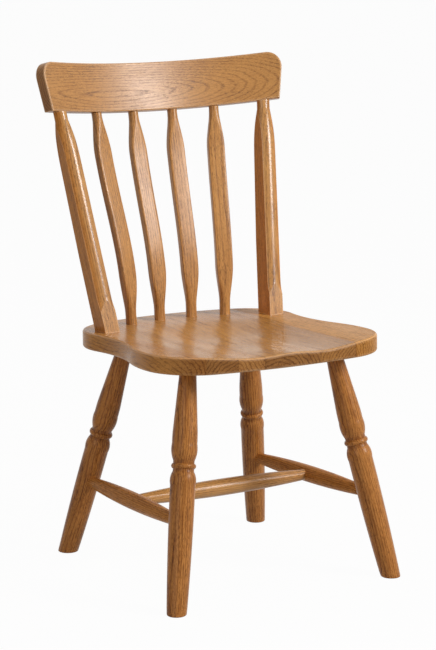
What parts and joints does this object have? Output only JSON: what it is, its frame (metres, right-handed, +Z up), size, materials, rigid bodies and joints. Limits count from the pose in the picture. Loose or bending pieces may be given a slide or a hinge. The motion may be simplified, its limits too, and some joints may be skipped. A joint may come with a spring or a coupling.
{
  "type": "spindle back chair",
  "caption": "Oak dining chair with a saddle-carved boarded seat, splayed beaded legs, an H-shaped stretcher and a raked back of flat bent spindles and turned posts under a bent rail.",
  "frame": {"origin": "on the floor, under the middle of the chair's overall box", "axes": "+Z up, +X to the right as seen from the front, the sitter faces -Y and the back leans to +Y"},
  "size_m": [0.5296, 0.5425, 0.9379],
  "materials": {
    "seat_oak": "honey-coloured oak under satin lacquer",
    "leg_oak": "honey-coloured oak under satin lacquer",
    "stretcher_oak": "honey-coloured oak under satin lacquer",
    "post_oak": "honey-coloured oak under satin lacquer",
    "spindle_oak": "honey-coloured oak under satin lacquer",
    "rail_oak": "honey-coloured oak under satin lacquer"
  },
  "bodies": {
    "root": {"seat_board_1": "seat_oak", "seat_board_2": "seat_oak", "seat_board_3": "seat_oak", "seat_board_4": "seat_oak", "seat_board_5": "seat_oak", "seat_board_6": "seat_oak", "front_left_leg": "leg_oak", "front_right_leg": "leg_oak", "rear_left_leg": "leg_oak", "rear_right_leg": "leg_oak", "left_side_stretcher": "stretcher_oak", "right_side_stretcher": "stretcher_oak", "cross_stretcher": "stretcher_oak", "left_post": "post_oak", "right_post": "post_oak", "spindle_1": "spindle_oak", "spindle_2": "spindle_oak", "spindle_3": "spindle_oak", "spindle_4": "spindle_oak", "crest_rail": "rail_oak"}
  },
  "joints": []
}
